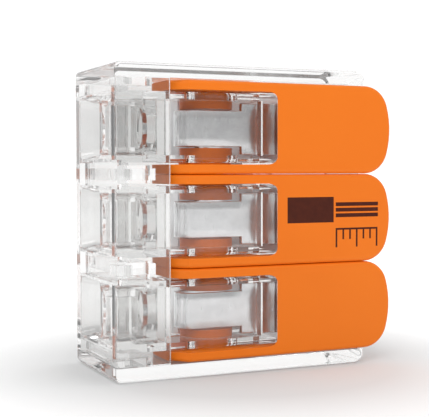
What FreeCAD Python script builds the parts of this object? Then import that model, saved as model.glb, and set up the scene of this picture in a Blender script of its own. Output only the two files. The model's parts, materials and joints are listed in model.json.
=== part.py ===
"""Three-way lever wire connector: clear housing and entry cover, busbar, clamp springs and levers.

Units are millimetres. Shapes are drawn in three design directions and placed in the part's frame by at():
s runs from the wire entry face (0) to the lever tips, h from the base (0) up to the lever tops,
and w across the row of ways. In the part's frame +X is s, -Y is h and +Z is w, so the connector
stands on one end wall with its levers facing -Y. The origin is the centre of the overall footprint.
"""

import FreeCAD
import Part
import math
import os

Vector = FreeCAD.Vector

# Overall size
LENGTH = 18.6
HEIGHT = 8.3
WIDTH = 18.7
WAYS = 3
PITCH = 5.6

# Housing shell
SHELL_LENGTH = 16.95
SHELL_TOP = 8.0
END_WALL = 0.88
BASE = 1.0
ROOF = 0.7
ROOF_END = 3.45
REAR_WALL = 0.8
REAR_ROOF = (6.55, 7.05)
REAR_ROOF_START = 9.75
BRIDGE_TOP = 7.75
BRIDGE_HALF = 2.12
BRIDGE_WALL = 0.45
BRIDGE_SWEEP = 4.69
BRIDGE_CORNER = 0.38
SKIRT_BOTTOM = 5.2
PARTITION = 0.8
PARTITION_START = 10.5
FUNNEL_RIB = (1.05, 2.62, 0.35)
FOOT_RADIUS = 0.3
REAR_CORNER = 0.85
REAR_TOP_CORNER = 0.5
FRONT_CORNER = 0.35
RIM = 0.2

# Latches that hold the entry cover in the roof
LATCH_MOUTH = (0.35, 0.85)
LATCH_WINDOW = (2.1, 0.53)
TONGUE_HALF = 0.32
TONGUE_DEPTH = 0.8

# Entry cover and its funnels
COVER_GAP = 0.05
COVER_PLATE = (0.35, 0.95)
TUBE_HALF = 2.1
TUBE_END = 3.5
TUBE_HEIGHT = (BASE + COVER_GAP, 5.4)
WIRE_HEIGHT = 3.15
TUNNEL_HALF = 1.7
TUNNEL_RISE = 1.7
TUNNEL_END = 2.6
TUNNEL_CORNER = 0.45
MOUTH_FLARE = 0.25
MOUTH_DEPTH = 0.8
NECK_START = 2.95
NECK_RADIUS = 1.45
TEST_SLOT = (1.2, 6.2, 6.95)
TEST_POCKET = (1.65, 5.5, 6.85)
TEST_WALL = 1.45
BLOCK_END = 3.3

# Levers
PIVOT = (6.95, 4.95)
LEVER_HALF = 2.785
CHEEK = 0.57
LEVER_TOP = HEIGHT
LEVER_UNDER = 7.15
NOSE_RADIUS = 4.15
NOSE_END_DEG = 146.0
DISC_RADIUS = 3.4
DISC_START_DEG = 185.0
DISC_END_DEG = 290.0
WINDOW_END = 10.35
WINDOW_CORNER = 0.45
TIP_CROWN = 5.5
TIP_CORNER = 1.7
HUB_RADIUS = 1.65
HUB_INNER = 1.2
HUB_GAP = 0.08
CHEEK_ROOT = ((9.5, 6.85), (9.7, LEVER_UNDER))
LEVER_EDGE = 0.22
LEVER_OPEN_DEG = 90.0

# Clamp springs
STRIP = 0.4
BEND_CENTRE = (5.75, 5.35)
BEND_RADIUS = 0.85
SPRING_HALF = 1.1
SPRING_WIDE_START = 8.75
SPRING_WIDE_HALF = 1.6
SPRING_END = 12.7
LEG_SLOPE_DEG = 33.0
LEG_LENGTH = 4.83
LEG_GAP = 0.05
LEG_WIDE_START = 2.95
LEG_WIDE_HALF = 1.5
LEG_OPEN_DEG = 35.0
TAB_CENTRE = 2.2
TAB_LENGTH = 0.6
TAB_HALF = 2.6
TAB_SLOT_RADIUS = 0.41
HOOK_WINDOW = (11.3, 12.3, 0.6)

# Busbar
BAR_FLOOR = BASE + 0.03
BAR = 0.8
BAR_FRONT = 6.0
BAR_SLOT_END = 9.1
BAR_SLOT_HALF = 0.68
FRAME = (11.4, 12.2)
FRAME_HALF = 2.1
FRAME_TOP = 5.98
FRAME_OPENING = (1.5, 5.0)
FRAME_TONGUE = (0.5, 6.48)
BAR_BEND = 0.6


def at(s, h, w):
    """A point of the part's frame from design coordinates."""
    return Vector(s - LENGTH / 2, HEIGHT / 2 - h, w)


def way_centre(way):
    """The height w of the centre plane of a way, counted from 1 at the bottom."""
    return WIDTH / 2 + (way - (WAYS + 1) / 2) * PITCH


def block(s, h, w):
    """A box between two values of s, of h and of w."""
    return Part.makeBox(s[1] - s[0], h[1] - h[0], w[1] - w[0], at(s[0], h[1], w[0]))


def rod(s, h, radius, w):
    """A cylinder along w."""
    return Part.makeCylinder(radius, w[1] - w[0], at(s, h, w[0]), Vector(0, 0, 1))


def bore(radius, h, w, s):
    """A cylinder along s."""
    return Part.makeCylinder(radius, s[1] - s[0], at(s[0], h, w), Vector(1, 0, 0))


def polar(centre, radius, degrees):
    """A point of the (s, h) plane by its angle about a centre, from +s towards +h."""
    angle = math.radians(degrees)
    return centre[0] + radius * math.cos(angle), centre[1] + radius * math.sin(angle)


class Outline:
    """A closed outline of lines and arcs in one design plane."""

    def __init__(self, place, start):
        self.place = place
        self.start = start
        self.here = start
        self.edges = []

    def line(self, *points):
        for point in points:
            self.edges.append(Part.makeLine(self.place(*self.here), self.place(*point)))
            self.here = point
        return self

    def arc(self, middle, end):
        curve = Part.Arc(self.place(*self.here), self.place(*middle), self.place(*end))
        self.edges.append(curve.toShape())
        self.here = end
        return self

    def turn(self, centre, radius, first, last):
        """An arc about a centre between two angles; the outline must stand at the first."""
        return self.arc(
            polar(centre, radius, (first + last) / 2), polar(centre, radius, last)
        )

    def face(self):
        if math.dist(self.here, self.start) > 1e-6:
            self.line(self.start)
        return Part.Face(Part.Wire(self.edges))


def side_view(start, w=0.0):
    return Outline(lambda s, h: at(s, h, w), start)


def plan_view(start, h=0.0):
    return Outline(lambda s, w: at(s, h, w), start)


def across(outline, w):
    """A side-view outline made solid between two values of w. It must be drawn at the first."""
    return outline.face().extrude(Vector(0, 0, w[1] - w[0]))


def joined(shapes):
    """One solid from shapes that overlap or touch."""
    return shapes[0].multiFuse(shapes[1:]).removeSplitter()


def edges_where(shape, test):
    """Edges whose ends, in design coordinates, all pass the test."""

    def design(vertex):
        p = vertex.Point
        return p.x + LENGTH / 2, HEIGHT / 2 - p.y, p.z

    return [e for e in shape.Edges if all(test(*design(v)) for v in e.Vertexes)]


def near(a, b):
    return abs(a - b) < 1e-4


def upright(edges):
    """The edges that stay at one value of w."""
    return [e for e in edges if near(e.Vertexes[0].Z, e.Vertexes[-1].Z)]


def gap_centres():
    """The planes between ways, and the two end walls' inner faces."""
    inner = [way_centre(way) + PITCH / 2 for way in range(1, WAYS)]
    return inner, (END_WALL, WIDTH - END_WALL)


# ---------------------------------------------------------------- housing body


def envelope():
    """The moulding's outer shape with its rounded edges, which trims every outer wall."""
    body = block((0.0, SHELL_LENGTH), (0.0, SHELL_TOP), (0.0, WIDTH))
    rear = upright(edges_where(body, lambda s, h, w: near(s, SHELL_LENGTH)))
    body = body.makeFillet(REAR_CORNER, rear)
    front = upright(edges_where(body, lambda s, h, w: near(s, 0)))
    body = body.makeFillet(FRONT_CORNER, front)
    foot = edges_where(body, lambda s, h, w: near(h, 0))
    body = body.makeFillet(FOOT_RADIUS, foot)
    rim = edges_where(body, lambda s, h, w: near(h, SHELL_TOP))
    return body.makeFillet(RIM, rim)


def end_walls():
    """Two solid walls whose rear top corner is rounded in side view."""
    centre = (SHELL_LENGTH - REAR_TOP_CORNER, SHELL_TOP - REAR_TOP_CORNER)
    walls = []
    for w in ((0.0, END_WALL), (WIDTH - END_WALL, WIDTH)):
        profile = side_view((0.0, 0.0), w[0])
        profile.line((SHELL_LENGTH, 0.0), (SHELL_LENGTH, centre[1]))
        profile.turn(centre, REAR_TOP_CORNER, 0, 90)
        walls.append(across(profile.line((0.0, SHELL_TOP)), w))
    return walls


def front_roof():
    """The roof over the funnels, with a rounded rear edge for the open levers to rest against."""
    roof = block((0.0, ROOF_END), (SHELL_TOP - ROOF, SHELL_TOP), (END_WALL / 2, WIDTH - END_WALL / 2))
    edge = edges_where(roof, lambda s, h, w: near(s, ROOF_END) and near(h, SHELL_TOP))
    return roof.makeFillet(RIM, edge)


def bridge_block(w):
    """The bridge before it is hollowed. Its rear end is swept round the pivot, clear of the lever."""
    start = ROOF_END - 2 * RIM
    box = block((start, REAR_ROOF_START + 3), (SKIRT_BOTTOM, BRIDGE_TOP), w)
    behind = block((PIVOT[0], REAR_ROOF_START + 4), (SKIRT_BOTTOM - 1, SHELL_TOP + 1), w)
    box = box.cut(behind.cut(rod(*PIVOT, BRIDGE_SWEEP, w)))
    swept = edges_where(box, lambda s, h, v: near(math.dist((s, h), PIVOT), BRIDGE_SWEEP))
    box = box.makeFillet(BRIDGE_CORNER, upright(swept))
    rim = edges_where(box, lambda s, h, v: near(h, BRIDGE_TOP))
    return box.makeFillet(1.5 * RIM, [e for e in rim if e.BoundBox.XMax > at(start, 0, 0).x + 1e-3])


def bridge(way):
    """The clear box in a lever's window. It covers the spring, and its skirts hold down the lever's hubs."""
    mid = way_centre(way)
    w = (mid - BRIDGE_HALF, mid + BRIDGE_HALF)
    below = SKIRT_BOTTOM - 1
    hollow = block(
        (ROOF_END, REAR_ROOF_START),
        (below, SHELL_TOP - ROOF),
        (w[0] + BRIDGE_WALL, w[1] - BRIDGE_WALL),
    )
    under_roof = block((0.0, ROOF_END), (below, SHELL_TOP - ROOF), w)
    over_rear = block((REAR_ROOF_START, SHELL_LENGTH), (below, REAR_ROOF[0]), w)
    hub = rod(*PIVOT, HUB_RADIUS + HUB_GAP, w)
    front = block((0.0, TUBE_END), (below, TUBE_HEIGHT[1] + 0.1), w)
    return bridge_block(w).cut([hollow, under_roof, over_rear, hub, front])


def rear_of_shell():
    """The rear wall, the low roof under the lever plates and the partitions between the wire chambers."""
    inside = (END_WALL / 2, WIDTH - END_WALL / 2)
    wall = block((SHELL_LENGTH - REAR_WALL, SHELL_LENGTH), (BASE / 2, REAR_ROOF[1]), inside)
    roof = block((REAR_ROOF_START, SHELL_LENGTH), REAR_ROOF, inside)
    parts = [wall, roof]
    for gap in gap_centres()[0]:
        w = (gap - PARTITION / 2, gap + PARTITION / 2)
        over_bar = (BASE + BAR + 0.1, REAR_ROOF[0] + 0.1)
        parts.append(block((PARTITION_START, SHELL_LENGTH - REAR_WALL / 2), over_bar, w))
        parts.append(block((FRAME[1] + 0.1, SHELL_LENGTH - REAR_WALL / 2), (BASE / 2, over_bar[0] + 0.1), w))
    return parts


def cradles():
    """Low ramps on the floor that carry the round lower edge of each lever's cheeks."""
    clear = DISC_RADIUS + 0.08
    reach = (PIVOT[0] - 0.4, PIVOT[0] + 1.65)
    inner, ends = gap_centres()
    half = PITCH / 2 - BRIDGE_HALF - 0.05
    spans = [(gap - half, gap + half) for gap in inner]
    spans += [(ends[0] - END_WALL / 2, ends[0] + half), (ends[1] - half, ends[1] + END_WALL / 2)]
    ramps = []
    for w in spans:
        seat = rod(*PIVOT, clear, (w[0] - 1, w[1] + 1))
        ramps.append(block(reach, (BASE / 2, BASE + 0.9), w).cut(seat))
    return ramps


def funnel_ribs():
    """Ribs that stand between the cover's funnels, ahead of the levers' noses."""
    first, last, half = FUNNEL_RIB
    heights = (BASE / 2, SHELL_TOP - ROOF / 2)
    return [block((first, last), heights, (gap - half, gap + half)) for gap in gap_centres()[0]]


def latch_openings():
    """Notches and windows in the roof's front edge that the cover's tongues snap into."""
    inner, ends = gap_centres()
    roof = (SHELL_TOP - ROOF - 0.5, SHELL_TOP + 0.5)
    cuts = []
    for gap in inner:
        cuts.append(block((-1, LATCH_MOUTH[0]), roof, (gap - LATCH_MOUTH[1], gap + LATCH_MOUTH[1])))
        cuts.append(block((-1, LATCH_WINDOW[0]), roof, (gap - LATCH_WINDOW[1], gap + LATCH_WINDOW[1])))
    for w in ((ends[0], ends[0] + LATCH_WINDOW[1]), (ends[1] - LATCH_WINDOW[1], ends[1])):
        cuts.append(block((-1, LATCH_WINDOW[0]), roof, w))
    return cuts


def housing_body():
    base = block((0.0, SHELL_LENGTH), (0.0, BASE), (0.0, WIDTH))
    pieces = [base, front_roof()] + end_walls() + rear_of_shell() + cradles() + funnel_ribs()
    pieces += [bridge(way) for way in range(1, WAYS + 1)]
    shell = pieces[0].multiFuse(pieces[1:]).common(envelope()).cut(latch_openings())
    return shell.removeSplitter()


# ---------------------------------------------------------------- entry cover


def rounded_window(s, half, rise, corner, w):
    """A wire round a wire tunnel's cross-section at one value of s."""
    low, high = WIRE_HEIGHT - rise, WIRE_HEIGHT + rise
    left, right = w - half, w + half
    outline = Outline(lambda h, v: at(s, h, v), (low + corner, left))
    outline.line((high - corner, left))
    outline.turn((high - corner, left + corner), corner, -90, 0)
    outline.line((high, right - corner))
    outline.turn((high - corner, right - corner), corner, 0, 90)
    outline.line((low + corner, right))
    outline.turn((low + corner, right - corner), corner, 90, 180)
    outline.line((low, left + corner))
    outline.turn((low + corner, left + corner), corner, 180, 270)
    return Part.Wire(outline.edges)


def funnel_cuts(w):
    """A flared mouth, a tunnel, a cone and a round neck for the wire, and over them the test opening."""
    wide, high = TUNNEL_HALF + MOUTH_FLARE, TUNNEL_RISE + MOUTH_FLARE
    mouth = rounded_window(0.0, wide, high, TUNNEL_CORNER + 0.1, w)
    flare_end = rounded_window(MOUTH_DEPTH, TUNNEL_HALF, TUNNEL_RISE, TUNNEL_CORNER, w)
    flare = Part.makeLoft([mouth, flare_end], True, True)
    section = rounded_window(MOUTH_DEPTH - 0.01, TUNNEL_HALF, TUNNEL_RISE, TUNNEL_CORNER, w)
    tunnel = Part.Face(section).extrude(Vector(TUNNEL_END - MOUTH_DEPTH + 0.01, 0, 0))
    cone = Part.makeCone(
        TUNNEL_HALF - 0.02,
        NECK_RADIUS,
        NECK_START - TUNNEL_END,
        at(TUNNEL_END, WIRE_HEIGHT, w),
        Vector(1, 0, 0),
    )
    neck = bore(NECK_RADIUS, WIRE_HEIGHT, w, (TUNNEL_END, TUBE_END + 1))
    half, low, high = TEST_SLOT
    test_slot = block((-1, TEST_WALL + 0.1), (low, high), (w - half, w + half))
    half, low, high = TEST_POCKET
    pocket = block((TEST_WALL, BLOCK_END + 1), (low, high), (w - half, w + half))
    return [flare, tunnel, cone, neck, test_slot, pocket]


def funnel(way):
    """One funnel: a block that reaches up to the roof, and a tube that runs on to the neck."""
    w = way_centre(way)
    across_way = (w - TUBE_HALF, w + TUBE_HALF)
    tube = block((0.0, TUBE_END), TUBE_HEIGHT, across_way)
    tube = tube.makeChamfer(0.25, edges_where(tube, lambda s, h, v: near(s, TUBE_END)))
    upper = block((0.0, BLOCK_END), (TUBE_HEIGHT[0], SHELL_TOP - ROOF - COVER_GAP), across_way)
    return [tube, upper]


def tongue(w):
    """A snap tongue: a post with a wedge-shaped head that catches behind the roof's front edge."""
    top = SHELL_TOP - 0.1
    foot = SHELL_TOP - ROOF - 0.6
    profile = side_view((COVER_PLATE[0] - 0.3, foot), w[0])
    profile.line(
        (COVER_PLATE[0] + 0.25, foot),
        (COVER_PLATE[0] + 0.25, top - 0.45),
        (TONGUE_DEPTH + 0.3, top - 0.35),
        (TONGUE_DEPTH + 0.3, top - 0.2),
        (COVER_PLATE[0] + 0.1, top),
        (COVER_PLATE[0] - 0.3, top),
    )
    return across(profile, w)


def entry_cover():
    plate = block(
        COVER_PLATE,
        (BASE + COVER_GAP, SHELL_TOP - ROOF - COVER_GAP),
        (END_WALL + COVER_GAP, WIDTH - END_WALL - COVER_GAP),
    )
    inner, ends = gap_centres()
    solids = [plate]
    for way in range(1, WAYS + 1):
        solids += funnel(way)
    solids += [tongue((gap - TONGUE_HALF, gap + TONGUE_HALF)) for gap in inner]
    solids.append(tongue((ends[0] + COVER_GAP, ends[0] + TONGUE_HALF + 0.1)))
    solids.append(tongue((ends[1] - TONGUE_HALF - 0.1, ends[1] - COVER_GAP)))
    cuts = []
    for way in range(1, WAYS + 1):
        cuts += funnel_cuts(way_centre(way))
    return joined(solids).cut(cuts).removeSplitter()


# ---------------------------------------------------------------- levers


def tab_point(leg_degrees):
    """Where the clamping leg's tab is, as the leg is raised by an angle about its bend."""
    slope = math.radians(-LEG_SLOPE_DEG)
    start = leg_start()
    rest = (start[0] + TAB_CENTRE * math.cos(slope), start[1] + TAB_CENTRE * math.sin(slope))
    reach = math.dist(rest, BEND_CENTRE)
    angle = math.degrees(math.atan2(rest[1] - BEND_CENTRE[1], rest[0] - BEND_CENTRE[0]))
    return polar(BEND_CENTRE, reach, angle + leg_degrees)


def leg_start():
    """Where the bend ends and the straight clamping leg starts."""
    return polar(BEND_CENTRE, BEND_RADIUS, 270 - LEG_SLOPE_DEG)


def turned_back(point, degrees):
    """A point as the lever sees it once the lever has opened by an angle."""
    reach = math.dist(point, PIVOT)
    angle = math.degrees(math.atan2(point[1] - PIVOT[1], point[0] - PIVOT[0]))
    return polar(PIVOT, reach, angle - degrees)


def tab_slot(w):
    """The straight slot in a cheek that carries the spring's tab, from closed to open."""
    closed = tab_point(0)
    opened = turned_back(tab_point(LEG_OPEN_DEG), LEVER_OPEN_DEG)
    run = math.dist(closed, opened)
    along = ((opened[0] - closed[0]) / run, (opened[1] - closed[1]) / run)
    side = (-along[1] * TAB_SLOT_RADIUS, along[0] * TAB_SLOT_RADIUS)
    bar = side_view((closed[0] + side[0], closed[1] + side[1]), w[0])
    bar.line(
        (opened[0] + side[0], opened[1] + side[1]),
        (opened[0] - side[0], opened[1] - side[1]),
        (closed[0] - side[0], closed[1] - side[1]),
    )
    ends = [rod(*closed, TAB_SLOT_RADIUS, w), rod(*opened, TAB_SLOT_RADIUS, w)]
    return joined([across(bar, w)] + ends)


def cheek_outline(w):
    """A cheek in side view: flat top, round nose, straight front, round lower edge and open back."""
    reach = math.sqrt(NOSE_RADIUS**2 - (LEVER_TOP - PIVOT[1]) ** 2)
    top_deg = math.degrees(math.atan2(LEVER_TOP - PIVOT[1], -reach))
    outline = side_view((WINDOW_END + 0.6, LEVER_TOP), w)
    outline.line((PIVOT[0] - reach, LEVER_TOP))
    outline.turn(PIVOT, NOSE_RADIUS, top_deg, NOSE_END_DEG)
    outline.line(polar(PIVOT, DISC_RADIUS, DISC_START_DEG))
    outline.turn(PIVOT, DISC_RADIUS, DISC_START_DEG, DISC_END_DEG)
    outline.line(*CHEEK_ROOT)
    return outline.line((WINDOW_END + 0.6, LEVER_UNDER))


def cheek(mid, side):
    """One cheek with its hub boss and tab slot; side is -1 or 1."""
    outer, inner = LEVER_HALF, LEVER_HALF - CHEEK
    low = mid + min(side * outer, side * inner)
    body = across(cheek_outline(low), (low, low + CHEEK))
    face = mid + side * outer
    edge = [
        e
        for e in edges_where(body, lambda s, h, w: near(w, face))
        if near(e.BoundBox.YMin, -HEIGHT / 2) and e.BoundBox.XMin < at(WINDOW_END, 0, 0).x
    ]
    body = body.makeFillet(LEVER_EDGE, edge)
    reach = sorted((mid + side * HUB_INNER, mid + side * (outer - CHEEK / 2)))
    hub = rod(*PIVOT, HUB_RADIUS, reach)
    slot = sorted((mid + side * (HUB_INNER - 0.1), mid + side * (outer + 1)))
    return joined([body, hub]).cut(tab_slot(slot))


def window(mid):
    """The opening round the bridge. Its rear face follows an arc about the pivot."""
    inner = LEVER_HALF - CHEEK
    w = (mid - inner, mid + inner)
    radius = math.dist((WINDOW_END, LEVER_TOP), PIVOT)
    opening = block((WINDOW_END - 2, LENGTH), (LEVER_UNDER - 0.5, LEVER_TOP), w)
    opening = opening.common(rod(*PIVOT, radius, w))
    swept = edges_where(opening, lambda s, h, v: near(math.dist((s, h), PIVOT), radius))
    return opening.makeFillet(WINDOW_CORNER, upright(swept))


def lever_plate(mid):
    """The finger plate with its rounded tip, and the two arms beside the window."""
    centre_s = LENGTH - TIP_CROWN
    corner_w = LEVER_HALF - TIP_CORNER
    corner_s = centre_s + math.sqrt((TIP_CROWN - TIP_CORNER) ** 2 - corner_w**2)
    join_deg = math.degrees(math.atan2(corner_w, corner_s - centre_s))
    start = WINDOW_END - 0.5
    outline = plan_view((start, mid - LEVER_HALF), LEVER_UNDER)
    outline.line((corner_s, mid - LEVER_HALF))
    outline.turn((corner_s, mid - corner_w), TIP_CORNER, -90, -join_deg)
    outline.turn((centre_s, mid), TIP_CROWN, -join_deg, join_deg)
    outline.turn((corner_s, mid + corner_w), TIP_CORNER, join_deg, 90)
    outline.line((start, mid + LEVER_HALF))
    plate = outline.face().extrude(Vector(0, LEVER_UNDER - LEVER_TOP, 0))
    top = edges_where(plate, lambda s, h, w: near(h, LEVER_TOP))
    plate = plate.makeFillet(LEVER_EDGE, [e for e in top if e.BoundBox.XMax > at(start, 0, 0).x + 0.1])
    return plate.cut(window(mid))


def nail_grip(mid):
    """A shallow scoop under the tip for a fingernail."""
    w = (mid - LEVER_HALF - 1, mid + LEVER_HALF + 1)
    return rod(LENGTH - 0.2, LEVER_UNDER - 1.55, 2.0, w)


def lever(way):
    mid = way_centre(way)
    plate = lever_plate(mid).cut(nail_grip(mid))
    return joined([plate, cheek(mid, -1), cheek(mid, 1)])


# ---------------------------------------------------------------- clamp springs


def clamp_spring(way):
    """The fixed part of a spring: the leg hooked on the busbar's frame, and the bend."""
    mid = way_centre(way)
    w = (mid - SPRING_HALF, mid + SPRING_HALF)
    outer, inner = BEND_RADIUS + STRIP / 2, BEND_RADIUS - STRIP / 2
    last = 270 - LEG_SLOPE_DEG
    outline = side_view((SPRING_END, BEND_CENTRE[1] + outer), w[0])
    outline.line((BEND_CENTRE[0], BEND_CENTRE[1] + outer))
    outline.turn(BEND_CENTRE, outer, 90, last)
    outline.line(polar(BEND_CENTRE, inner, last))
    outline.turn(BEND_CENTRE, inner, last, 90)
    outline.line((SPRING_END, BEND_CENTRE[1] + inner))
    wide = (mid - SPRING_WIDE_HALF, mid + SPRING_WIDE_HALF)
    heights = (BEND_CENTRE[1] + inner, BEND_CENTRE[1] + outer)
    strip = joined([across(outline, w), block((SPRING_WIDE_START, SPRING_END), heights, wide)])
    first, end, half = HOOK_WINDOW
    return strip.cut(block((first, end), (0, HEIGHT), (mid - half, mid + half)))


def along_leg(distance, offset):
    """A point of the clamping leg by its distance from the bend and its offset to the upper side."""
    slope = math.radians(-LEG_SLOPE_DEG)
    start = leg_start()
    return (
        start[0] + distance * math.cos(slope) - offset * math.sin(slope),
        start[1] + distance * math.sin(slope) + offset * math.cos(slope),
    )


def leg_strip(first, last, w, edge=0.0):
    """A stretch of the leg's strip. The end face leans by edge, which leaves a clamping edge."""
    half = STRIP / 2
    outline = side_view(along_leg(first, -half), w[0])
    outline.line(along_leg(last, -half), along_leg(last - edge, half), along_leg(first, half))
    return across(outline, w)


def clamp_leg(way):
    """The moving part of a spring: the leg with its clamping edge, and the tabs that the levers lift."""
    mid = way_centre(way)
    neck = leg_strip(LEG_GAP, LEG_WIDE_START + 0.1, (mid - SPRING_HALF, mid + SPRING_HALF))
    wide = (mid - LEG_WIDE_HALF, mid + LEG_WIDE_HALF)
    blade = leg_strip(LEG_WIDE_START, LEG_LENGTH, wide, edge=0.15)
    first = TAB_CENTRE - TAB_LENGTH / 2
    tabs = leg_strip(first, first + TAB_LENGTH, (mid - TAB_HALF, mid + TAB_HALF))
    return joined([neck, blade, tabs])


# ---------------------------------------------------------------- busbar


def frame_of_way(way):
    """A frame bent up from the bar, with an opening for the wire and a tongue that holds the spring."""
    mid = way_centre(way)
    wide = (mid - FRAME_HALF, mid + FRAME_HALF)
    plate = block(FRAME, (BAR_FLOOR, FRAME_TOP), wide)
    half, top = FRAME_OPENING
    opening = block((FRAME[0] - 1, FRAME[1] + 1), (BASE + BAR, top), (mid - half, mid + half))
    half, top = FRAME_TONGUE
    tongue_top = block(FRAME, (FRAME_TOP - 0.2, top), (mid - half, mid + half))
    fill = BAR_BEND / 2
    inside = block((FRAME[0] - fill, FRAME[0] + 0.1), (BASE + BAR - 0.1, BASE + BAR + fill), wide)
    inside = inside.cut(rod(FRAME[0] - fill, BASE + BAR + fill, fill, wide))
    return [joined([plate, inside]).cut(opening), tongue_top]


def busbar():
    """A comb of three contact tongues joined by a web, with three frames bent up behind."""
    low = way_centre(1) - FRAME_HALF
    high = way_centre(WAYS) + FRAME_HALF
    bar = block((BAR_FRONT, FRAME[1]), (BAR_FLOOR, BASE + BAR), (low, high))
    lead_in = edges_where(bar, lambda s, h, w: near(s, BAR_FRONT) and near(h, BASE + BAR))
    bar = bar.makeChamfer(0.35, lead_in)
    solids = [bar]
    for way in range(1, WAYS + 1):
        solids += frame_of_way(way)
    cuts = []
    for gap in gap_centres()[0]:
        w = (gap - BAR_SLOT_HALF, gap + BAR_SLOT_HALF)
        cuts.append(block((0, BAR_SLOT_END), (0, HEIGHT), w))
        cuts.append(block((FRAME[0] - 0.3, FRAME[1] + 1), (0, HEIGHT), w))
    bar = joined(solids).cut(cuts)
    heel = edges_where(bar, lambda s, h, w: near(s, FRAME[1]) and near(h, BAR_FLOOR))
    return bar.makeFillet(BAR_BEND, heel).removeSplitter()


# ---------------------------------------------------------------- output


def nodes():
    made = {"housing_body": housing_body(), "entry_cover": entry_cover(), "busbar": busbar()}
    for way in range(1, WAYS + 1):
        made[f"clamp_spring_{way}"] = clamp_spring(way)
        made[f"clamp_leg_{way}"] = clamp_leg(way)
        made[f"lever_{way}"] = lever(way)
    return made


def main():
    os.makedirs("parts", exist_ok=True)
    for name, shape in nodes().items():
        shape.exportStep(f"parts/{name}.step")
        print(name, "valid" if shape.isValid() else "NOT VALID", len(shape.Solids), round(shape.Volume, 2))


main()
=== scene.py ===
"""Looks for the three-way lever wire connector.

Clear mouldings, tinned busbar, spring strips and orange levers, one with a print.
"""

import json
import math

import bmesh
import bpy
from mathutils import Matrix, Vector


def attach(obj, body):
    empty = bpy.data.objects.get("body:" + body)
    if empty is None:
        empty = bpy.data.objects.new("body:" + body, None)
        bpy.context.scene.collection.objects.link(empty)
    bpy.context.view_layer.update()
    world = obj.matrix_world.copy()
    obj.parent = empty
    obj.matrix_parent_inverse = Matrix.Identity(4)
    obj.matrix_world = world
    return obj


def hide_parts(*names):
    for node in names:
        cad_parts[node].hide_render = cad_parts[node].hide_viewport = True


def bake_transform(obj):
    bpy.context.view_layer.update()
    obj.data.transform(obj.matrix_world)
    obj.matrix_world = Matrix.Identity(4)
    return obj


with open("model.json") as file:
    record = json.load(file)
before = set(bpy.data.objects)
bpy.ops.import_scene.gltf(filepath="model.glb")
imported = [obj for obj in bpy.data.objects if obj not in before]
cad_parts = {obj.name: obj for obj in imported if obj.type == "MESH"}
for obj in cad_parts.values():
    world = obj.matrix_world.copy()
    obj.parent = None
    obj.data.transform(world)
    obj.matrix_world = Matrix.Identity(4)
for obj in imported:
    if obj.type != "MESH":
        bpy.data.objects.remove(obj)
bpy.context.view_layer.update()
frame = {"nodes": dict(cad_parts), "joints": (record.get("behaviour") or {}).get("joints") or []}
nodes = frame["nodes"]

MM = 0.001
LENGTH, HEIGHT = 18.6, 8.3
WAYS = (1, 2, 3)


def way_centre(way):
    """Height of a way's centre plane in millimetres, from its hinge."""
    joint = next(j for j in frame["joints"] if j["child"] == f"lever_{way}")
    return joint["pos_m"][2] / MM


def at(s, h, w):
    """A point in metres from the design directions: s from the entry face, h from the base, w up."""
    return Vector(((s - LENGTH / 2) * MM, (HEIGHT / 2 - h) * MM, w * MM))


def new_object(name, vertices, faces):
    mesh = bpy.data.meshes.new(name)
    mesh.from_pydata(vertices, [], faces)
    mesh.update()
    made = bpy.data.objects.new(name, mesh)
    bpy.context.scene.collection.objects.link(made)
    return made


# ---------------------------------------------------------------- materials


def map_range(tree, value, source, target):
    """A value between the two numbers of source, moved between the two numbers of target."""
    made = tree.nodes.new("ShaderNodeMapRange")
    for name, number in zip(("From Min", "From Max", "To Min", "To Max"), (*source, *target)):
        made.inputs[name].default_value = number
    tree.links.new(value, made.inputs["Value"])
    return made.outputs["Result"]


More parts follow.
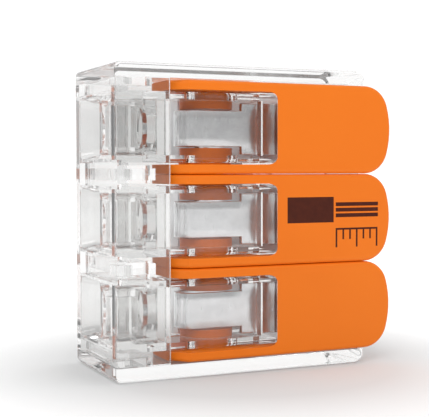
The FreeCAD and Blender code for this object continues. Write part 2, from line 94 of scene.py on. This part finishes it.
class Shader:
    """A Principled material with a short way to add and link nodes."""

    def __init__(self, name, **values):
        self.material = bpy.data.materials.new(name)
        self.material.use_nodes = True
        self.tree = self.material.node_tree
        self.surface = self.tree.nodes["Principled BSDF"]
        for key, value in values.items():
            self.surface.inputs[key.replace("_", " ")].default_value = value

    def add(self, kind, **values):
        made = self.tree.nodes.new(kind)
        for key, value in values.items():
            socket = key.replace("_", " ")
            if socket in made.inputs:
                made.inputs[socket].default_value = value
            else:
                setattr(made, key, value)
        return made

    def link(self, source, target, socket):
        self.tree.links.new(source, target.inputs[socket])

    def coordinates(self, scale=(1.0, 1.0, 1.0)):
        """Object coordinates in millimetres, stretched by scale."""
        place = self.add("ShaderNodeTexCoord")
        mapping = self.add("ShaderNodeMapping")
        mapping.inputs["Scale"].default_value = [x / MM for x in scale]
        self.link(place.outputs["Object"], mapping, "Vector")
        return mapping.outputs["Vector"]

    def noise(self, scale, detail=4.0, stretch=(1.0, 1.0, 1.0)):
        made = self.add("ShaderNodeTexNoise", Scale=scale, Detail=detail)
        self.link(self.coordinates(stretch), made, "Vector")
        return made.outputs["Fac"]

    def roughness(self, value, low, high):
        self.link(map_range(self.tree, value, (0, 1), (low, high)), self.surface, "Roughness")

    def bump(self, value, strength, distance):
        made = self.add("ShaderNodeBump", Strength=strength, Distance=distance)
        self.link(value, made, "Height")
        self.link(made.outputs["Normal"], self.surface, "Normal")

    def tint(self, value, dark, light):
        """Colour that drifts between two shades with a value."""
        ramp = self.add("ShaderNodeValToRGB")
        ramp.color_ramp.elements[0].position = 0.3
        ramp.color_ramp.elements[1].position = 0.7
        ramp.color_ramp.elements[0].color = (*dark, 1)
        ramp.color_ramp.elements[1].color = (*light, 1)
        self.link(value, ramp, "Fac")
        self.link(ramp.outputs["Color"], self.surface, "Base Color")

    def let_lamps_through(self, share):
        """Lets each surface pass a share of the lamps' light to what is behind it."""
        path = self.add("ShaderNodeLightPath")
        clear = self.add("ShaderNodeBsdfTransparent")
        clear.inputs["Color"].default_value = (share, share, share, 1)
        mix = self.add("ShaderNodeMixShader")
        self.link(path.outputs["Is Shadow Ray"], mix, 0)
        self.link(self.surface.outputs["BSDF"], mix, 1)
        self.link(clear.outputs["BSDF"], mix, 2)
        self.link(mix.outputs["Shader"], self.tree.nodes["Material Output"], "Surface")


LAMP_SHARE = 0.85


def clear_plastic(name, dark, light):
    """Polished clear moulding with faint flow marks; its tint drifts between two greys."""
    shader = Shader(name, Transmission_Weight=1.0, IOR=1.5)
    shader.tint(shader.noise(0.25), dark, light)
    shader.roughness(shader.noise(0.8), 0.0, 0.03)
    shader.bump(shader.noise(0.35, 2.0, (0.4, 1.0, 1.0)), 0.15, 0.01 * MM)
    shader.let_lamps_through(LAMP_SHARE)
    return shader.material


def orange_plastic():
    """Satin moulded orange with fine grain and slow colour drift."""
    shader = Shader("orange_plastic", IOR=1.5, Specular_IOR_Level=0.3)
    shader.tint(shader.noise(0.12), (0.865, 0.18, 0.002), (0.905, 0.20, 0.004))
    shader.roughness(shader.noise(6.0), 0.42, 0.52)
    shader.bump(shader.noise(22.0, 3.0), 0.12, 0.008 * MM)
    return shader.material


def tinned_copper():
    """Matt tin plating with fine rolling lines."""
    shader = Shader("tinned_copper", Metallic=1.0)
    shader.tint(shader.noise(1.4), (0.88, 0.885, 0.90), (0.95, 0.955, 0.97))
    shader.roughness(shader.noise(9.0, 3.0, (0.15, 1.0, 1.0)), 0.26, 0.42)
    shader.bump(shader.noise(18.0, 3.0, (0.1, 1.0, 1.0)), 0.2, 0.006 * MM)
    return shader.material


def spring_steel():
    """Rolled stainless strip, a little darker and glossier than the tin."""
    shader = Shader("spring_steel", Metallic=1.0)
    shader.tint(shader.noise(1.1), (0.82, 0.825, 0.84), (0.92, 0.925, 0.94))
    shader.roughness(shader.noise(12.0, 3.0, (1.0, 1.0, 0.12)), 0.18, 0.32)
    shader.bump(shader.noise(24.0, 3.0, (1.0, 1.0, 0.1)), 0.2, 0.005 * MM)
    return shader.material


def ink():
    """Dark brown pad print with a slightly uneven film."""
    shader = Shader("print_ink", IOR=1.5, Specular_IOR_Level=0.2)
    shader.tint(shader.noise(2.5), (0.06, 0.008, 0.002), (0.08, 0.012, 0.003))
    shader.roughness(shader.noise(14.0), 0.38, 0.5)
    shader.bump(shader.noise(30.0, 2.0), 0.1, 0.004 * MM)
    return shader.material


def wear(obj, material):
    obj.data.materials.clear()
    obj.data.materials.append(material)


def smooth(obj, degrees=40):
    for polygon in obj.data.polygons:
        polygon.use_smooth = True
    obj.data.set_sharp_from_angle(angle=math.radians(degrees))


# ---------------------------------------------------------------- springs

STRIP = 0.4
STRIP_EDGE = 0.04
BEND_CENTRE = (5.75, 5.35)
BEND_RADIUS = 0.85
BEND_END_DEG = 237.0
BEND_STEPS = 22
LEG_LENGTH = 4.83
SPRING_END = 12.7
SPRING_HALF, LEG_WIDE_HALF, SPRING_WIDE_HALF, TAB_HALF = 1.1, 1.5, 1.6, 2.6
SPRING_WIDE_START = 8.75
TAB = (1.9, 2.5)
LEG_WIDE_START = 2.95
HOOK_WINDOW = (11.3, 12.3, 0.6)
HALF_WIDTHS = (HOOK_WINDOW[2], SPRING_HALF, LEG_WIDE_HALF, SPRING_WIDE_HALF, TAB_HALF)


def bend_point(degrees):
    """A point (s, h) of the bend by its angle from +s towards +h."""
    angle = math.radians(degrees)
    return (BEND_CENTRE[0] + BEND_RADIUS * math.cos(angle), BEND_CENTRE[1] + BEND_RADIUS * math.sin(angle))


def spring_line():
    """Stations along the strip, each a point (s, h) and the strip's half width from there to the next."""
    top = BEND_CENTRE[1] + BEND_RADIUS
    stations = [((s, top), SPRING_WIDE_HALF) for s in (SPRING_END, HOOK_WINDOW[1], HOOK_WINDOW[0])]
    stations += [((s, top), SPRING_HALF) for s in (SPRING_WIDE_START, 7.5, BEND_CENTRE[0])]
    for i in range(1, BEND_STEPS + 1):
        stations.append((bend_point(90 + (BEND_END_DEG - 90) * i / BEND_STEPS), SPRING_HALF))
    slope = math.radians(BEND_END_DEG - 270)
    start = bend_point(BEND_END_DEG)
    for run in (0.6, 1.2, TAB[0], TAB[1], LEG_WIDE_START, 3.9, LEG_LENGTH):
        half = LEG_WIDE_HALF if run >= LEG_WIDE_START else SPRING_HALF
        point = (start[0] + run * math.cos(slope), start[1] + run * math.sin(slope))
        stations.append((point, TAB_HALF if run == TAB[0] else half))
    return stations


def strip_faces(stations):
    """Quads between neighbouring stations, out to the half width, with the hook's window left open."""
    middle = len(HALF_WIDTHS) - 1
    columns = 2 * len(HALF_WIDTHS)
    faces = []
    for i, ((s, _), half) in enumerate(stations[:-1]):
        reach = HALF_WIDTHS.index(half)
        for j in range(middle - reach, middle + reach + 1):
            if not (j == middle and s == HOOK_WINDOW[1]):
                a = i * columns + j
                faces.append((a, a + 1, a + columns + 1, a + columns))
    return faces


def spring_strip(way, material):
    """One bent strip: hooked upper leg, bend and clamping leg with its side tabs."""
    mid = way_centre(way)
    stations = spring_line()
    across = [-x for x in reversed(HALF_WIDTHS)] + list(HALF_WIDTHS)
    vertices = [at(*point, mid + w) for point, _ in stations for w in across]
    strip = new_object(f"spring_strip_{way}", vertices, strip_faces(stations))
    thick = strip.modifiers.new("thickness", "SOLIDIFY")
    thick.thickness = STRIP * MM
    thick.offset = 0.0
    edge = strip.modifiers.new("edges", "BEVEL")
    edge.width = STRIP_EDGE * MM
    edge.segments = 2
    edge.limit_method = "ANGLE"
    edge.angle_limit = math.radians(50)
    apply_modifiers(strip)
    smooth(strip)
    wear(strip, material)
    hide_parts(f"clamp_spring_{way}", f"clamp_leg_{way}")
    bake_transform(strip)


def apply_modifiers(obj):
    """Replaces an object's mesh with its mesh after modifiers, without the vertices that no face uses."""
    depsgraph = bpy.context.evaluated_depsgraph_get()
    mesh = bpy.data.meshes.new_from_object(obj.evaluated_get(depsgraph))
    obj.modifiers.clear()
    obj.data = mesh
    made = bmesh.new()
    made.from_mesh(mesh)
    bmesh.ops.delete(made, geom=[v for v in made.verts if not v.link_faces], context="VERTS")
    made.to_mesh(mesh)
    made.free()


# ---------------------------------------------------------------- print

PRINT_WAY = 2
INK = 0.004
SHEATH = (11.05, 14.35, -0.25, 1.35)
STRANDS = 3
STRAND_LENGTH = (14.5, 17.65)
STRAND_FIRST, STRAND_STEP, STRAND_WIDTH = 0.06, 0.35, 0.24
SCALE_LINE = (14.5, 17.62, -0.74, -0.62)
MARKS = 7
MARK_FIRST, MARK_STEP, MARK_HALF = 14.56, 0.5, 0.06
LONG_MARK, SHORT_MARK = 1.1, 0.6


def bars():
    """The print's shapes as (s, s, w, w) boxes: an insulated wire with bared strands, over a short scale."""
    shapes = [SHEATH]
    for i in range(STRANDS):
        low = STRAND_FIRST + STRAND_STEP * i
        shapes.append((*STRAND_LENGTH, low, low + STRAND_WIDTH))
    shapes.append(SCALE_LINE)
    top = SCALE_LINE[2]
    for i in range(MARKS):
        s = MARK_FIRST + MARK_STEP * i
        drop = LONG_MARK if i % 3 == 0 else SHORT_MARK
        shapes.append((s - MARK_HALF, s + MARK_HALF, top - drop, top))
    return shapes


def print_piece(material):
    """The print as thin raised boxes on the lever's top face."""
    mid = way_centre(PRINT_WAY)
    vertices, faces = [], []
    for s0, s1, w0, w1 in bars():
        a = len(vertices)
        for h in (HEIGHT, HEIGHT + INK):
            vertices += [at(s, h, mid + w) for s, w in ((s0, w0), (s1, w0), (s1, w1), (s0, w1))]
        faces += [(a, a + 1, a + 2, a + 3), (a + 4, a + 7, a + 6, a + 5)]
        for i in range(4):
            j = (i + 1) % 4
            faces.append((a + i, a + 4 + i, a + 4 + j, a + j))
    made = new_object("lever_print", vertices, faces)
    wear(made, material)
    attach(made, f"lever_{PRINT_WAY}")


# ---------------------------------------------------------------- studio, in metres

FLOOR_GAP = 0.00003
FLOOR_HALF = 1.6
FLOOR_FRONT = 1.5
FLOOR_BACK = 0.25
FLOOR_CURVE = 0.15
FLOOR_STEPS = 16
BACKDROP_TOP = 0.9
# Painted light on the floor: a glow though it is no lamp, dim near the object and brighter away from it,
# which paints a soft shadow around its base.
GLOW_STARTS, GLOW_FULL = 0.0105, 0.022
PAINTED_SHADOW_GLOW, GLOW_FAR = 0.13, 0.5

# The sky's brightness, by the upward part of the direction looked in
HORIZON, HORIZON_LIGHT = 0.05, 0.35
OVERHEAD, OVERHEAD_LIGHT = 0.6, 1.0

YAW, PITCH, ROLL = math.radians(24.49), math.radians(-2.23), math.radians(-0.07)
EYE = Vector((-28.67, -60.06, 12.5)) * MM
FOCAL = 1030.2
PICTURE_WIDTH = 429
SENSOR = 36.0


def backdrop_white_painted_shadow():
    """Matt white that glows though it is no lamp, and glows less near the object, which paints a soft shadow
    around its base.
    """
    shader = Shader("floor", Base_Color=(0.65, 0.65, 0.65, 1), Roughness=0.95, Specular_IOR_Level=0.1)
    shader.surface.inputs["Emission Color"].default_value = (1, 1, 1, 1)
    place = shader.add("ShaderNodeTexCoord")
    away = shader.add("ShaderNodeVectorMath", operation="LENGTH")
    shader.link(place.outputs["Object"], away, "Vector")
    # Painted shadow: the glow rises from its near value close to the object to its far value away from it.
    glow = map_range(shader.tree, away.outputs["Value"], (GLOW_STARTS, GLOW_FULL), (PAINTED_SHADOW_GLOW, GLOW_FAR))
    shader.link(glow, shader.surface, "Emission Strength")
    return shader.material


def floor():
    """A pale floor that curves up into a backdrop behind the object."""
    profile = [(-FLOOR_FRONT, 0.0), (FLOOR_BACK, 0.0)]
    for i in range(1, FLOOR_STEPS + 1):
        angle = math.radians(90 * i / FLOOR_STEPS)
        profile.append((FLOOR_BACK + FLOOR_CURVE * math.sin(angle), FLOOR_CURVE * (1 - math.cos(angle))))
    profile.append((FLOOR_BACK + FLOOR_CURVE, BACKDROP_TOP))
    turn = Matrix.Rotation(-YAW, 4, "Z")
    vertices = [turn @ Vector((x, y, z)) for y, z in profile for x in (-FLOOR_HALF, FLOOR_HALF)]
    faces = [(a, a + 1, a + 3, a + 2) for a in range(0, len(vertices) - 2, 2)]
    made = new_object("floor", vertices, faces)
    for polygon in made.data.polygons:
        polygon.use_smooth = True
    made.location.z = -FLOOR_GAP
    # The floor's material glows and paints a soft shadow around the object.
    wear(made, backdrop_white_painted_shadow())


def camera():
    data = bpy.data.cameras.new("camera")
    made = bpy.data.objects.new("camera", data)
    bpy.context.scene.collection.objects.link(made)
    data.sensor_width = SENSOR
    data.lens = FOCAL * SENSOR / PICTURE_WIDTH
    data.clip_start = 0.001
    data.clip_end = 10
    ahead = Vector((math.sin(YAW) * math.cos(PITCH), math.cos(YAW) * math.cos(PITCH), math.sin(PITCH)))
    made.matrix_world = Matrix.Translation(EYE) @ (
        ahead.to_track_quat("-Z", "Y").to_matrix().to_4x4() @ Matrix.Rotation(ROLL, 4, "Z")
    )
    bpy.context.scene.camera = made


def area_light(name, place, target, side, power):
    data = bpy.data.lights.new(name, "AREA")
    data.shape = "SQUARE"
    data.size = side
    data.energy = power
    made = bpy.data.objects.new(name, data)
    bpy.context.scene.collection.objects.link(made)
    place, target = Vector(place), Vector(target)
    made.location = place
    made.rotation_euler = (target - place).to_track_quat("-Z", "Y").to_euler()


def sky():
    """White overhead and dim near the horizon, which draws the edges of the clear pieces."""
    world = bpy.data.worlds.new("studio")
    bpy.context.scene.world = world
    world.use_nodes = True
    tree = world.node_tree
    place = tree.nodes.new("ShaderNodeTexCoord")
    parts = tree.nodes.new("ShaderNodeSeparateXYZ")
    tree.links.new(place.outputs["Generated"], parts.inputs["Vector"])
    light = map_range(tree, parts.outputs["Z"], (HORIZON, OVERHEAD), (HORIZON_LIGHT, OVERHEAD_LIGHT))
    tree.links.new(light, tree.nodes["Background"].inputs["Color"])


def studio():
    """The light, enough bounces to see through the clear walls, and an unchanged view transform."""
    sky()
    area_light("key", (-0.12, -0.22, 0.26), (0, 0, 0.01), 0.16, 0.215)
    cycles = bpy.context.scene.cycles
    cycles.max_bounces = 32
    cycles.transmission_bounces = 32
    cycles.glossy_bounces = 20
    view = bpy.context.scene.view_settings
    view.view_transform = "Standard"
    view.look = "None"
    view.exposure = 0.0


# ---------------------------------------------------------------- build

housing_clear = clear_plastic("clear_housing", (0.86, 0.86, 0.857), (0.89, 0.89, 0.886))
cover_clear = clear_plastic("clear_cover", (0.81, 0.81, 0.807), (0.87, 0.87, 0.866))
orange, tin, steel = orange_plastic(), tinned_copper(), spring_steel()
for name, clear in (("housing_body", housing_clear), ("entry_cover", cover_clear)):
    wear(nodes[name], clear)
    smooth(nodes[name], 30)
wear(nodes["busbar"], tin)
for way in WAYS:
    wear(nodes[f"lever_{way}"], orange)
    smooth(nodes[f"lever_{way}"], 30)
    spring_strip(way, steel)
print_piece(ink())
camera()
floor()
studio()
